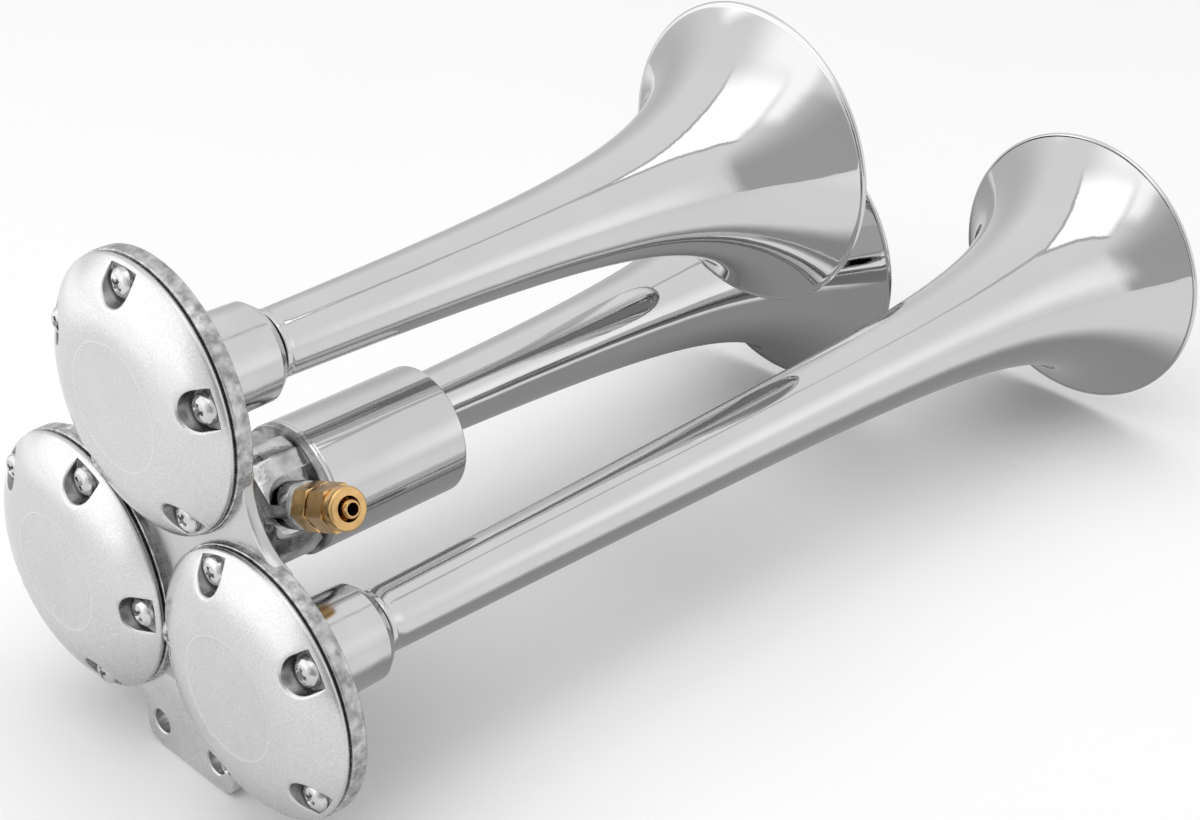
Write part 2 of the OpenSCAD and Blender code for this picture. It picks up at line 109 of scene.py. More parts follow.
def fillet(points, radius, steps=5):
    """Rounds the inner corners of a 2-D polyline. radius is one number or one for each point."""
    last = len(points) - 1
    radii = radius if isinstance(radius, (list, tuple)) else [radius] * len(points)
    out = []
    for i, point in enumerate(points):
        p = Vector(point)
        if i in (0, last) or radii[i] <= 0:
            out.append(tuple(p))
            continue
        a = Vector(points[i - 1]) - p
        b = Vector(points[i + 1]) - p
        if a.length < TINY or b.length < TINY:
            continue
        u, v = a.normalized(), b.normalized()
        angle = u.angle(v)
        if angle > STRAIGHT:
            out.append(tuple(p))
            continue
        reach = min(radii[i] / math.tan(angle / 2), SIDE_SHARE * a.length, SIDE_SHARE * b.length)
        r = reach * math.tan(angle / 2)
        centre = p + (u + v).normalized() * (r / math.sin(angle / 2))
        start, end = p + u * reach - centre, p + v * reach - centre
        sweep = start.angle_signed(end)
        for k in range(steps + 1):
            t = -sweep * k / steps
            c, s = math.cos(t), math.sin(t)
            out.append((centre.x + start.x * c - start.y * s, centre.y + start.x * s + start.y * c))
    return out


def bridge(a, b):
    """The quads between two rings of the same number of vertices."""
    count = len(a)
    return [[a[k], a[(k + 1) % count], b[(k + 1) % count], b[k]] for k in range(count)]


def new_object(name, mesh, materials=()):
    obj = bpy.data.objects.new(name, mesh)
    bpy.context.scene.collection.objects.link(obj)
    for m in materials:
        mesh.materials.append(m)
    return obj


def face_outwards(mesh):
    bm = bmesh.new()
    bm.from_mesh(mesh)
    bmesh.ops.recalc_face_normals(bm, faces=bm.faces)
    bm.to_mesh(mesh)
    bm.free()
    mesh.update()


def mesh_from(name, verts, faces, matrix, uvs=None, slots=None):
    """Makes a mesh from points in millimetres and turns its faces outwards."""
    mesh = bpy.data.meshes.new(name)
    mesh.from_pydata([tuple(matrix @ Vector(v)) for v in verts], [], faces)
    if uvs:
        layer = mesh.uv_layers.new(name="UVMap")
        for loop in mesh.loops:
            layer.data[loop.index].uv = uvs[loop.vertex_index]
    if slots:
        for poly, s in zip(mesh.polygons, slots):
            poly.material_index = s
    face_outwards(mesh)
    return mesh


def smooth(mesh, angle):
    """Shades a mesh smooth, with its edges sharp from an angle in degrees."""
    for poly in mesh.polygons:
        poly.use_smooth = True
    mesh.set_sharp_from_angle(angle=math.radians(angle))


def revolve(name, profile, matrix, segments=128, closed=False, angle=32, slot=0):
    """Turns a profile of (x, r) pairs round the X axis. slot is one material's number, or one for each step."""
    verts, uvs, rings = [], [], []
    run = 0.0
    for i, (x, r) in enumerate(profile):
        if i:
            run += math.dist(profile[i - 1], (x, r))
        if r < TINY:
            rings.append([len(verts)])
            verts.append((x, 0, 0))
            uvs.append((0.5, run * MM))
            continue
        rings.append(list(range(len(verts), len(verts) + segments)))
        for k in range(segments):
            a = 2 * math.pi * k / segments
            verts.append((x, r * math.cos(a), r * math.sin(a)))
            uvs.append((k / segments, run * MM))
    pairs = list(zip(rings, rings[1:]))
    if closed:
        pairs.append((rings[-1], rings[0]))
    slots = slot if isinstance(slot, list) else [slot] * len(pairs)
    faces, face_slots = [], []
    for (a, b), number in zip(pairs, slots):
        for k in range(segments):
            n = (k + 1) % segments
            quad = list(dict.fromkeys([a[k % len(a)], a[n % len(a)], b[n % len(b)], b[k % len(b)]]))
            if len(quad) > 2:
                faces.append(quad)
                face_slots.append(number)
    mesh = mesh_from(name, verts, faces, matrix, uvs, face_slots)
    smooth(mesh, angle)
    return mesh


def prism(name, outline, x0, x1, matrix, bevel=0.0, slot=0):
    """Extrudes a Y-Z outline along X and rounds the rims of both ends."""
    bm = bmesh.new()
    face = bm.faces.new([bm.verts.new((x0, y, z)) for y, z in outline])
    grown = bmesh.ops.extrude_face_region(bm, geom=[face])
    for item in grown["geom"]:
        if isinstance(item, bmesh.types.BMVert):
            item.co.x = x1
    bmesh.ops.recalc_face_normals(bm, faces=bm.faces)
    if bevel:
        rims = [e for e in bm.edges if abs(e.verts[0].co.x - e.verts[1].co.x) < TINY]
        bmesh.ops.bevel(bm, geom=rims, offset=bevel, offset_type="OFFSET", segments=3,
                        profile=0.5, affect="EDGES", clamp_overlap=True)
    for f in bm.faces:
        f.material_index = slot
    mesh = bpy.data.meshes.new(name)
    bm.to_mesh(mesh)
    bm.free()
    mesh.transform(matrix)
    smooth(mesh, 30)
    return mesh


def evaluated(obj):
    """An object's mesh with its modifiers applied."""
    bpy.context.view_layer.update()
    return bpy.data.meshes.new_from_object(obj.evaluated_get(bpy.context.evaluated_depsgraph_get()))


def boolean(mesh, other, operation):
    """The exact boolean of two meshes, as a new mesh."""
    a, b = new_object("a", mesh), new_object("b", other)
    cut = a.modifiers.new("cut", "BOOLEAN")
    cut.operation = operation
    cut.solver = "EXACT"
    cut.object = b
    result = evaluated(a)
    for obj in (a, b):
        bpy.data.objects.remove(obj)
    return result


def bevelled(mesh, width, angle):
    """A mesh with the edges sharper than an angle in degrees rounded, as a new mesh."""
    holder = new_object("holder", mesh)
    edges = holder.modifiers.new("edges", "BEVEL")
    edges.width = width
    edges.segments = 2
    edges.limit_method = "ANGLE"
    edges.angle_limit = math.radians(angle)
    result = evaluated(holder)
    bpy.data.objects.remove(holder)
    return result


def joined(name, meshes, materials):
    """One object from several meshes that share one list of materials."""
    bm = bmesh.new()
    for mesh in meshes:
        bm.from_mesh(mesh)
    bmesh.ops.dissolve_degenerate(bm, edges=bm.edges, dist=SHORTEST_EDGE)
    out = bpy.data.meshes.new(name)
    bm.to_mesh(out)
    bm.free()
    return new_object(name, out, materials)


def settle(obj, slot, *nodes):
    """Puts a piece on the horn and hides the CAD nodes that it stands for; slot, for its finish, is not used."""
    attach(obj, BODY)
    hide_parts(*nodes)


# Materials

def add(tree, kind, inputs=None, **props):
    """A new node, with its inputs set or linked."""
    n = tree.nodes.new(kind)
    for key, value in props.items():
        setattr(n, key, value)
    for key, value in (inputs or {}).items():
        if isinstance(value, bpy.types.NodeSocket):
            tree.links.new(value, n.inputs[key])
        else:
            n.inputs[key].default_value = value
    return n


def start_material(name, metallic):
    mat = bpy.data.materials.new(name)
    mat.use_nodes = True
    shader = mat.node_tree.nodes["Principled BSDF"]
    shader.inputs["Metallic"].default_value = metallic
    return mat, mat.node_tree, shader


def noise(tree, scale, detail, stretch=(1, 1, 1), shift=0.0):
    """Noise in the object's own coordinates. A shift sets it apart from other noise of the same scale."""
    place = add(tree, "ShaderNodeMapping", {
        "Vector": add(tree, "ShaderNodeTexCoord").outputs["Object"],
        "Location": (shift, shift, shift), "Scale": stretch}).outputs[0]
    return add(tree, "ShaderNodeTexNoise", {
        "Vector": place, "Scale": scale, "Detail": detail}).outputs["Fac"]


def spread(tree, value, low, high, start=0.3, end=0.7):
    """Maps a value from start and end to low and high."""
    return add(tree, "ShaderNodeMapRange", {
        "Value": value, "From Min": start, "From Max": end, "To Min": low, "To Max": high}).outputs[0]


def smoothstep(tree, value, start, end):
    return add(tree, "ShaderNodeMapRange", {"Value": value, "From Min": start, "From Max": end},
               interpolation_type="SMOOTHSTEP").outputs[0]


def maths(tree, operation, first, second):
    return add(tree, "ShaderNodeMath", {0: first, 1: second}, operation=operation).outputs[0]


def blend(tree, value, first, second):
    """Mixes two colours, each a socket or a triple."""
    mix = add(tree, "ShaderNodeMix", data_type="RGBA")
    tree.links.new(value, mix.inputs["Factor"])
    for key, colour in ((6, first), (7, second)):
        if isinstance(colour, bpy.types.NodeSocket):
            tree.links.new(colour, mix.inputs[key])
        else:
            mix.inputs[key].default_value = (*colour, 1)
    return mix.outputs[2]


def bumps(tree, layers):
    """Stacks bump layers of (height, distance in metres)."""
    normal = None
    for height, distance in layers:
        inputs = {"Height": height, "Distance": distance, "Strength": 1.0}
        if normal:
            inputs["Normal"] = normal
        normal = add(tree, "ShaderNodeBump", inputs).outputs[0]
    return normal


def metal(name, colour, darker, rough, layers, patch=25, grain=None):
    """A plated or turned metal: colour drifts to darker, roughness drifts between two values, and bumps lie on top.
    Each layer is (scale, detail, distance) or (scale, detail, distance, stretch).
    A grain is (scale, share of the colour that it takes away)."""
    mat, tree, shader = start_material(name, 1.0)
    paint = blend(tree, spread(tree, noise(tree, patch, 4), 0, 1), darker, colour)
    if grain:
        scale, share = grain
        speck = spread(tree, noise(tree, scale, 2, shift=0.11), 0, 1, 0.38, 0.62)
        dim = add(tree, "ShaderNodeHueSaturation", {"Value": 1 - share, "Color": paint}).outputs[0]
        paint = blend(tree, speck, dim, paint)
    drift = spread(tree, noise(tree, patch * 3.1, 5, shift=0.37), *rough)
    heights = [(noise(tree, scale, detail, *stretch), distance)
               for scale, detail, distance, *stretch in layers]
    tree.links.new(paint, shader.inputs["Base Color"])
    tree.links.new(drift, shader.inputs["Roughness"])
    tree.links.new(bumps(tree, heights), shader.inputs["Normal"])
    return mat


def dull(name, colour, darker, rough, bump, scale=900, patch=120):
    """A plastic, rubber or fibre with a fine grain."""
    mat, tree, shader = start_material(name, 0.0)
    paint = blend(tree, spread(tree, noise(tree, patch, 4), 0, 1), darker, colour)
    drift = spread(tree, noise(tree, patch * 2.7, 4, shift=0.2), *rough)
    tree.links.new(paint, shader.inputs["Base Color"])
    tree.links.new(drift, shader.inputs["Roughness"])
    tree.links.new(bumps(tree, [(noise(tree, scale, 3), bump)]), shader.inputs["Normal"])
    return mat


def grey(v):
    return (v, v, v)


# A brushed or wound grain is stretched along the lines that it makes
ROUND, ALONG = (1, 0.02, 0.02), (0.02, 1, 1)

mirror = metal("mirror_chrome", grey(0.63), grey(0.60), (0.025, 0.06), [
    (22, 1, 4.6e-4), (75, 2, 7.0e-5), (1000, 2, 6.0e-6, ROUND)])
satin = metal("satin_chrome", grey(0.66), grey(0.62), (0.24, 0.31), [
    (30, 1, 1.5e-4), (1300, 3, 2.4e-5)], patch=40, grain=(1600, 0.10))
ring_edge = metal("worn_ring", grey(0.80), grey(0.72), (0.16, 0.24), [
    (1300, 3, 2.0e-5)], patch=300)
# The pockets' darker grey is painted shade in these recesses
pocket_shade_plate = metal("cast_pocket_painted_shade", grey(0.40), grey(0.24), (0.22, 0.34), [
    (240, 2, 6.0e-5), (1500, 3, 1.5e-5)], patch=160)
rough_rim = metal("cast_rim", grey(0.64), grey(0.24), (0.20, 0.40), [
    (520, 4, 1.3e-4), (1500, 4, 3.0e-5)], patch=340)
web_plate = metal("cast_web", grey(0.56), grey(0.50), (0.24, 0.34), [
    (110, 2, 8.0e-5), (1200, 3, 1.2e-5)], patch=60)
tab_plate = metal("cast_tab", grey(0.76), grey(0.69), (0.22, 0.32), [
    (110, 2, 7.0e-5), (1200, 3, 1.2e-5)], patch=60, grain=(1500, 0.08))
boss_plate = metal("cast_boss", grey(0.63), grey(0.58), (0.09, 0.18), [
    (85, 2, 1.6e-4), (900, 3, 6.0e-6)], patch=90)
block_plate = metal("cast_block", grey(0.64), grey(0.32), (0.07, 0.20), [
    (150, 3, 3.0e-4), (1100, 3, 2.0e-5)], patch=170)
raw_face = metal("cast_face", grey(0.50), grey(0.14), (0.24, 0.45), [
    (360, 5, 2.4e-4), (1400, 4, 4.0e-5)], patch=150)
can_plate = metal("can_chrome", grey(0.61), grey(0.57), (0.035, 0.08), [
    (30, 1, 2.2e-4), (1500, 2, 4.0e-6, ALONG)], patch=50)
bright_steel = metal("bright_steel", grey(0.64), grey(0.50), (0.12, 0.24), [
    (260, 3, 6.0e-5), (1800, 3, 1.0e-5)], patch=240)
spring_plate = metal("spring_steel", grey(0.50), grey(0.42), (0.22, 0.34), [
    (1300, 3, 1.0e-5)], patch=90)
turned_steel = metal("turned_steel", grey(0.55), grey(0.48), (0.2, 0.3), [
    (1800, 2, 1.2e-5, ROUND)], patch=120)
yellow_brass = metal("brass", (0.80, 0.52, 0.22), (0.56, 0.35, 0.15), (0.14, 0.26), [
    (240, 3, 3.5e-5), (1500, 3, 1.2e-5)], patch=190)
copper_wire = metal("winding", (0.60, 0.24, 0.10), (0.48, 0.17, 0.07), (0.25, 0.35), [
    (1700, 1, 6.0e-5, ROUND)], patch=120)
black_rubber = dull("black_rubber", (0.016, 0.016, 0.017), (0.008, 0.008, 0.009), (0.5, 0.65), 2e-5)
pale_washer = dull("pale_washer", (0.78, 0.79, 0.80), (0.34, 0.36, 0.38), (0.35, 0.55), 6e-5,
                   scale=700, patch=420)
bobbin_plastic = dull("bobbin_plastic", (0.02, 0.02, 0.023), (0.012, 0.012, 0.014), (0.4, 0.5), 1e-5)


# Trumpets

TUBE_R, BELL_R, FLARE, WALL = 9.15, 52.7, 91, 1.6
SHOULDER_X, THROAT_X, BEAD_R = 41.4, 45, 1.0
OUTER_STEPS, INNER_STEPS, BEAD_STEPS = 110, 70, 14
# The steps get shorter towards the rim
OUTER_EASE, INNER_EASE = 1.7, 1.5
NOSE = [(40.5, 7.0), (12, 5.4), (0, 5.4), (0, 7.2), (1, 7.7), (5, 7.7), (6.5, 9.0), (37.8, 9.0), (38.8, 8.0)]


def horn_r(x, length, taper):
    """The outer radius: a slightly tapered tube and its flare."""
    return TUBE_R + taper * x + (BELL_R - TUBE_R - taper * length) / (1 + (length - x) / FLARE) ** 3


def horn_slope(x, length, taper):
    return (horn_r(x + 0.01, length, taper) - horn_r(x - 0.01, length, taper)) / 0.02


def trumpet_profile(name):
    """The shoulder, the outside, the rim's bead, the inside and the nose that sits in the boss."""
    length, taper = LENGTHS[name], TAPERS[name]
    tube_r = horn_r(SHOULDER_X, length, taper)
    outer = fillet([(SHOULDER_X, 8.0), (SHOULDER_X, tube_r + 0.35), (SHOULDER_X + 1.6, tube_r + 0.3),
                    (SHOULDER_X + 2.2, tube_r)], 0.35, 4)
    for i in range(OUTER_STEPS + 1):
        x = SHOULDER_X + (length - SHOULDER_X) * (1 - (1 - i / OUTER_STEPS) ** OUTER_EASE)
        if SHOULDER_X + 2.6 < x < length - 1.05:
            outer.append((x, horn_r(x, length, taper)))
    # The bead stands proud outside and runs on into the inner surface
    mid_r = horn_r(length, length, taper) - BEAD_R
    first, last = math.radians(-104), math.pi - math.atan(horn_slope(length, length, taper))
    bead = []
    for k in range(BEAD_STEPS + 1):
        a = first + (last - first) * k / BEAD_STEPS
        bead.append((length + BEAD_R * math.sin(a), mid_r + BEAD_R * math.cos(a)))
    inner = []
    for i in range(INNER_STEPS, -1, -1):
        x = THROAT_X + (length - THROAT_X) * (1 - (1 - i / INNER_STEPS) ** INNER_EASE)
        if x < length - 0.1:
            s = horn_slope(x, length, taper)
            inner.append((x, horn_r(x, length, taper) - WALL * math.sqrt(1 + s * s)))
    return outer + bead + inner + NOSE


for key in AXES:
    name = f"{key}_trumpet_chrome"
    mesh = revolve(name, trumpet_profile(key), axis_matrix(key), segments=160, closed=True, angle=40)
    settle(new_object(name, mesh, [mirror]), "trumpets", f"{key}_trumpet")


# Covers

DOME_FLAT, DOME_END_R, DOME_H, DOME_END_X, RIM_ROUND = 19.0, 41.55, 10.8, -2.0, 1.4
DOME_RUN = DOME_END_R - DOME_FLAT
DOME_DROP = DOME_H + DOME_END_X
DOME_R = (DOME_RUN ** 2 + DOME_DROP ** 2) / (2 * DOME_DROP)
DOME_SWEEP = math.asin(DOME_RUN / DOME_R)
RIM_MID_R = DOME_END_R - RIM_ROUND * math.sin(DOME_SWEEP)
RIM_MID_X = DOME_END_X + RIM_ROUND * math.cos(DOME_SWEEP)
RIM_COUNT = 192
SINK, SINK_R, SINK_WIDTH = 0.07, 18.4, 0.8
RIDGE, RIDGE_R, RIDGE_WIDTH = 0.05, 19.3, 0.25
WORN_FROM, WORN_TO = 19.1, 19.5
POCKETS, POCKET_TURN = 5, 72
POCKET_R, POCKET_END, POCKET_FLOOR, SCREW_CIRCLE = 5.8, 40.7, -2.4, 36.0
LIP, LEAST_LIP, LIP_SHARE = 0.95, 0.04, 0.6
# The front's points lie on these circles, closest at the ring round the centre
CIRCLES = [4, 8, 12, 15, 17, 18.2, 18.6, 18.9, 19.1, 19.3, 19.5, 19.8, 20.4, 21.5]
CIRCLES += [23 + 1.4 * k for k in range(13)] + [40.9]
BACK_PROFILE = [(-0.4, RIM_MID_R + RIM_ROUND), (-0.4, 28.0), (-6.9, 27.0), (-8.4, 20.0)]
BACK_CENTRE_X = -8.4


def dome_x(r):
    """X of the cover's outer surface at radius r, with the faint ring round its slightly sunk centre."""
    x = -DOME_H
    if r > DOME_FLAT:
        x = -DOME_H + DOME_R - math.sqrt(DOME_R ** 2 - (r - DOME_FLAT) ** 2)
    step = min(max((r - SINK_R) / SINK_WIDTH, 0), 1)
    sunk = SINK * (1 - step * step * (3 - 2 * step))
    return x + sunk - RIDGE * math.exp(-((r - RIDGE_R) / RIDGE_WIDTH) ** 2)


def dome_normal(y, z):
    r = math.hypot(y, z)
    if r < TINY:
        return Vector((-1, 0, 0))
    rate = (dome_x(r + 0.02) - dome_x(r - 0.02)) / 0.04
    return Vector((-1, rate * y / r, rate * z / r)).normalized()


def pocket_outline():
    """Round inner end, straight sides and an outer end along the rim: (along, across) and the outward direction."""
    half = POCKET_R
    points = []
    for k in range(25):
        a = math.pi / 2 + math.pi * k / 24
        c, s = math.cos(a), math.sin(a)
        points.append(((SCREW_CIRCLE + half * c, half * s), (c, s)))
    corner = math.sqrt(POCKET_END ** 2 - half ** 2)
    lean = math.asin(half / POCKET_END)
    sides = [SCREW_CIRCLE + (corner - SCREW_CIRCLE) * k / 4 for k in range(1, 4)]
    points += [((x, -half), (0, -1)) for x in sides]
    for k in range(9):
        a = -lean + 2 * lean * k / 8
        outward = Vector((math.cos(a), math.sin(a)))
        if k in (0, 8):
            square = Vector((0, -1 if k == 0 else 1))
            outward = (outward + square) / (1 + outward.dot(square))
        points.append(((POCKET_END * math.cos(a), POCKET_END * math.sin(a)), tuple(outward)))
    return points + [((x, half), (0, 1)) for x in reversed(sides)]


def pocket_angles(key):
    return [math.radians(PHASES[key] + POCKET_TURN * i) for i in range(POCKETS)]


def turned(p, angle):
    c, s = math.cos(angle), math.sin(angle)
    return (p[0] * c - p[1] * s, p[0] * s + p[1] * c)


def circle(r, count, first=0.0):
    """Points of a circle, from the given share of a step on."""
    angles = [2 * math.pi * (k + first) / count for k in range(count)]
    return [(r * math.cos(a), r * math.sin(a)) for a in angles]


def loop_edges(first, count):
    """The edges of a closed loop of points that are numbered from first."""
    return [(first + k, first + (k + 1) % count) for k in range(count)]


def in_loop(x, y, loop):
    """Whether a point lies inside a closed 2-D loop."""
    inside = False
    for (ax, ay), (bx, by) in zip(loop, loop[1:] + loop[:1]):
        if (ay > y) != (by > y) and x < ax + (y - ay) * (bx - ax) / (by - ay):
            inside = not inside
    return inside


def near_pocket(p, angles):
    """Whether a point of the front lies in a pocket or close to its lip."""
    reach = POCKET_R + LIP + 0.5
    for angle in angles:
        x, y = turned(p, -angle)
        if 0 < x < POCKET_END + 0.9 and abs(y) < reach:
            if x > SCREW_CIRCLE or math.dist((x, y), (SCREW_CIRCLE, 0)) < reach:
                return True
    return False


def front_plan(key):
    """The front laid flat: its points, fixed edges, each pocket's (loop, lip) and the rim's first point.
    A lip has (point, outward direction, radius, height of the wall) for each point of its loop."""
    points, edges, pockets = [], [], []
    angles = pocket_angles(key)
    for angle in angles:
        first, lip = len(points), []
        for p, d in pocket_outline():
            height = POCKET_FLOOR - dome_x(math.hypot(*p))
            rho = max(LEAST_LIP, min(LIP, LIP_SHARE * height))
            points.append(turned((p[0] + d[0] * rho, p[1] + d[1] * rho), angle))
            lip.append((turned(p, angle), turned(d, angle), rho, height))
        pockets.append((range(first, len(points)), lip))
        edges += loop_edges(first, len(lip))
    rim = len(points)
    points += circle(DOME_END_R, RIM_COUNT)
    edges += loop_edges(rim, RIM_COUNT)
    points.append((0, 0))
    for i, r in enumerate(CIRCLES):
        count = 48 if r < 13 else 96 if r < 24 else 144
        points += [p for p in circle(r, count, 0.5 * (i % 2)) if not near_pocket(p, angles)]
    return points, edges, pockets, rim


def pocket_rows(lip):
    """Rows of points down into a pocket: the lip's quarter round, the wall, a small fillet and the floor's edge."""
    rows = []
    for t in (22, 45, 67, 90):
        row = []
        for p, d, rho, _ in lip:
            back = rho * (1 - math.sin(math.radians(t)))
            sunk = rho * (1 - math.cos(math.radians(t)))
            top = dome_x(math.hypot(p[0] + d[0] * rho, p[1] + d[1] * rho))
            edge = dome_x(math.hypot(*p))
            base = top + (edge - top) * (1 - back / rho)
            row.append((min(base + sunk, POCKET_FLOOR), p[0] + d[0] * back, p[1] + d[1] * back))
        rows.append(row)
    for inset, lift in ((0.0, 0.45), (0.12, 0.14), (0.45, 0.0)):
        row = []
        for p, d, _, height in lip:
            reach = math.hypot(*d)
            row.append((POCKET_FLOOR - min(lift, 0.1 * max(height, 0)),
                        p[0] - d[0] / reach * inset, p[1] - d[1] / reach * inset))
        rows.append(row)
    return rows


def cover_mesh(key):
    points, fixed, pockets, rim = front_plan(key)
    coords, _, triangles, origins, _, _ = delaunay_2d_cdt([Vector(p) for p in points], fixed, [], 0, 1e-5)
    place = {old: new for new, olds in enumerate(origins) for old in olds}
    verts = [(dome_x(v.length), v.x, v.y) for v in coords]
    faces, inside, worn = [], [], []

    def add_row(row):
        """Adds a ring of vertices and gives their numbers."""
        verts.extend(row)
        return list(range(len(verts) - len(row), len(verts)))

    # The front, without the triangles over the pockets
    loops = [[points[k] for k in loop] for loop, _ in pockets]
    for triangle in triangles:
        y = sum(coords[v].x for v in triangle) / 3
        z = sum(coords[v].y for v in triangle) / 3
        nearest = round((math.degrees(math.atan2(z, y)) - PHASES[key]) / POCKET_TURN) % POCKETS
        if in_loop(y, z, loops[nearest]):
            continue
        if WORN_FROM < math.hypot(y, z) < WORN_TO:
            worn.append(len(faces))
        faces.append(list(triangle))
    # The pockets, whose wall and floor have the rougher plating, in a darker grey that paints their shade
    for loop, lip in pockets:
        above = [place[k] for k in loop]
        for depth, row in enumerate(pocket_rows(lip)):
            below = add_row(row)
            if depth > 2:
                inside += range(len(faces), len(faces) + len(row))
            faces += bridge(above, below)
            above = below
        inside.append(len(faces))
        faces.append(above)
    # The rounded rim and the hollow back
    above = [place[rim + k] for k in range(RIM_COUNT)]
    start = DOME_SWEEP - math.pi / 2
    back = []
    for k in range(5, -1, -1):
        a = start * k / 6
        back.append((RIM_MID_X + RIM_ROUND * math.sin(a), RIM_MID_R + RIM_ROUND * math.cos(a)))
    for x, r in back + BACK_PROFILE:
        below = add_row([(x, y, z) for y, z in circle(r, RIM_COUNT)])
        faces += bridge(above, below)
        above = below
    tip, = add_row([(BACK_CENTRE_X, 0, 0)])
    faces += [[above[k], above[(k + 1) % RIM_COUNT], tip] for k in range(RIM_COUNT)]

    mesh = bpy.data.meshes.new(f"{key}_cover_satin")
    matrix = axis_matrix(key)
    mesh.from_pydata([tuple(matrix @ Vector(v)) for v in verts], [], faces)
    # Slot 1, the pockets' wall and floor, takes the darker grey that paints their shade
    for slot, marked in ((1, inside), (2, worn)):
        for k in marked:
            mesh.polygons[k].material_index = slot
    face_outwards(mesh)
    smooth(mesh, 38)
    # The front keeps the dome's exact normals, but for the lips and the rim
    custom = [Vector((0, 0, 0))] * len(verts)
    lips = {place[k] for loop, _ in pockets for k in loop}
    for i, v in enumerate(coords):
        if i not in lips and v.length < DOME_END_R - 0.1:
            custom[i] = dome_normal(v.x, v.y)
    mesh.normals_split_custom_set_from_vertices(custom)
    return mesh


for key in AXES:
    obj = new_object(f"{key}_cover_satin", cover_mesh(key), [satin, pocket_shade_plate, ring_edge])
    settle(obj, "covers", f"{key}_cover")


# Screws: one head, repeated at every pocket

HEAD = [(-3.2, 0), (-3.2, 1.8), (-2.8, 3.3), (-1.7, 4.45), (-0.2, 4.6), (0, 4.5), (0, 2.2), (7.4, 2.2), (7.4, 0)]
HEAD_ROUND = [0, 1.2, 1.4, 0.9, 0.15, 0.1, 0, 0.3, 0]
# The recess's arms at their mouth and floor: X, half the length and half the width
RECESS = ((-4.0, 2.75, 0.72), (-1.3, 1.15, 0.5))


def recess_arm(turn):
    """One arm of the cross recess, turned by an angle in degrees."""
    bm = bmesh.new()
    mouth, floor = [
        [bm.verts.new((x, y, z)) for y, z in ((-half, -thick), (half, -thick), (half, thick), (-half, thick))]
        for x, half, thick in RECESS]
    for corners in [mouth, floor] + bridge(mouth, floor):
        bm.faces.new(corners)
    bmesh.ops.recalc_face_normals(bm, faces=bm.faces)
    mesh = bpy.data.meshes.new("recess")
    bm.to_mesh(mesh)
    bm.free()
    mesh.transform(Matrix.Rotation(math.radians(turn), 4, "X"))
    return mesh


screw = revolve("screw", fillet(HEAD, HEAD_ROUND, 4), LOCAL, segments=64, angle=40)
for turn in (0, 90):
    screw = boolean(screw, recess_arm(turn), "DIFFERENCE")
random.seed(7)
copies = []
for key in AXES:
    for angle in pocket_angles(key):
        one = screw.copy()
        one.transform(axis_matrix(key) @ Matrix.Rotation(angle, 4, "X")
                      @ Matrix.Translation((POCKET_FLOOR, SCREW_CIRCLE, 0))
                      @ Matrix.Rotation(random.uniform(0, math.pi / 2), 4, "X"))
        copies.append(one)
heads = joined("cover_screw_heads", copies, [bright_steel])
smooth(heads.data, 34)
settle(heads, "screws", "cover_screws")


# Manifold, as one casting

CAST = [web_plate, rough_rim, boss_plate, block_plate, raw_face, tab_plate]
WEB, RIM, BOSS, BLOCK, FACE, TAB = range(6)
WEB_CORNER, WAIST_AT, WAIST_R = 30, 70, 20.5
# The tab stands just before the web, because faces in one plane would show black
TAB_FRONT, TAB_BACK = 2.685, 9.2
TAB_HALF, TAB_BOTTOM, TAB_CORNER, TAB_FILLET = 22.1, -81.8, 5.0, 5.0
HOLE_SIDE, HOLE_R, HOLE_LIP = 14, 4.0, 0.45
BLOCK_R, BLOCK_FLAT, BLOCK_TURN = 20, 19, 158
BLOCK_FLATS = (28, 84, 140, 220, 276, 332)
BOSS_R, SLOT_R, RIB_R, NECK_R = 15.4, 9, 6, 13.5


def polar(r, degrees):
    a = math.radians(degrees)
    return (r * math.cos(a), r * math.sin(a))


def web_outline():
    """A hexagon round the three axes, with a round waist in its two upper long sides."""
    ring, points = [], []
    for name in ("top", "right", "left"):
        axis = polar(AXIS_R, AXES[name])
        for side in (-60, 60):
            corner = polar(WEB_CORNER, AXES[name] + side)
            ring.append(Vector((axis[0] + corner[0], axis[1] + corner[1])))
    for p, q in zip(ring, ring[1:] + ring[:1]):
        points.append(tuple(p))
        middle = (p + q) / 2
        bearing = math.degrees(math.atan2(middle.y, middle.x)) % 360
        for waist in (30, 150):
            if abs(bearing - waist) < 5:
                c = Vector(polar(WAIST_AT, waist))
                along = (q - p).normalized()
                foot = p + along * (c - p).dot(along)
                inward = (foot - c).normalized()
                gap = (c - foot).length
                reach = math.asin(math.sqrt(WAIST_R ** 2 - gap ** 2) / WAIST_R)
                for k in range(13):
                    t = -reach + 2 * reach * k / 12
                    points.append(tuple(c + inward * WAIST_R * math.cos(t) + along * WAIST_R * math.sin(t)))
    return points


def tab_outline():
    """The tab's round lower corners, and the fillets by which it runs into the two lower flanges."""
    across = PITCH / 2 - TAB_HALF - TAB_FILLET
    reach = math.sqrt((FLANGE_R + TAB_FILLET) ** 2 - across ** 2)
    lean = math.degrees(math.atan2(reach, across))
    right = []
    for k in range(9):
        y, z = polar(TAB_CORNER, -90 + 90 * k / 8)
        right.append((TAB_HALF - TAB_CORNER + y, TAB_BOTTOM + TAB_CORNER + z))
    for k in range(9):
        y, z = polar(TAB_FILLET, 180 + (lean - 180) * k / 8)
        right.append((TAB_HALF + TAB_FILLET + y, -AXIS_R / 2 - reach + z))
    right.append((PITCH / 2 - 6, -AXIS_R))
    return right + [(-y, z) for y, z in reversed(right)]


def block_outline():
    """A circle with six flats, counted from the inlet's bearing."""
    points = []
    for a in range(0, 360, 2):
        r = BLOCK_R
        for flat in BLOCK_FLATS:
            c = math.cos(math.radians(a - flat))
            if c > 0.2:
                r = min(r, BLOCK_FLAT / c)
        points.append(polar(r, a + BLOCK_TURN))
    return points


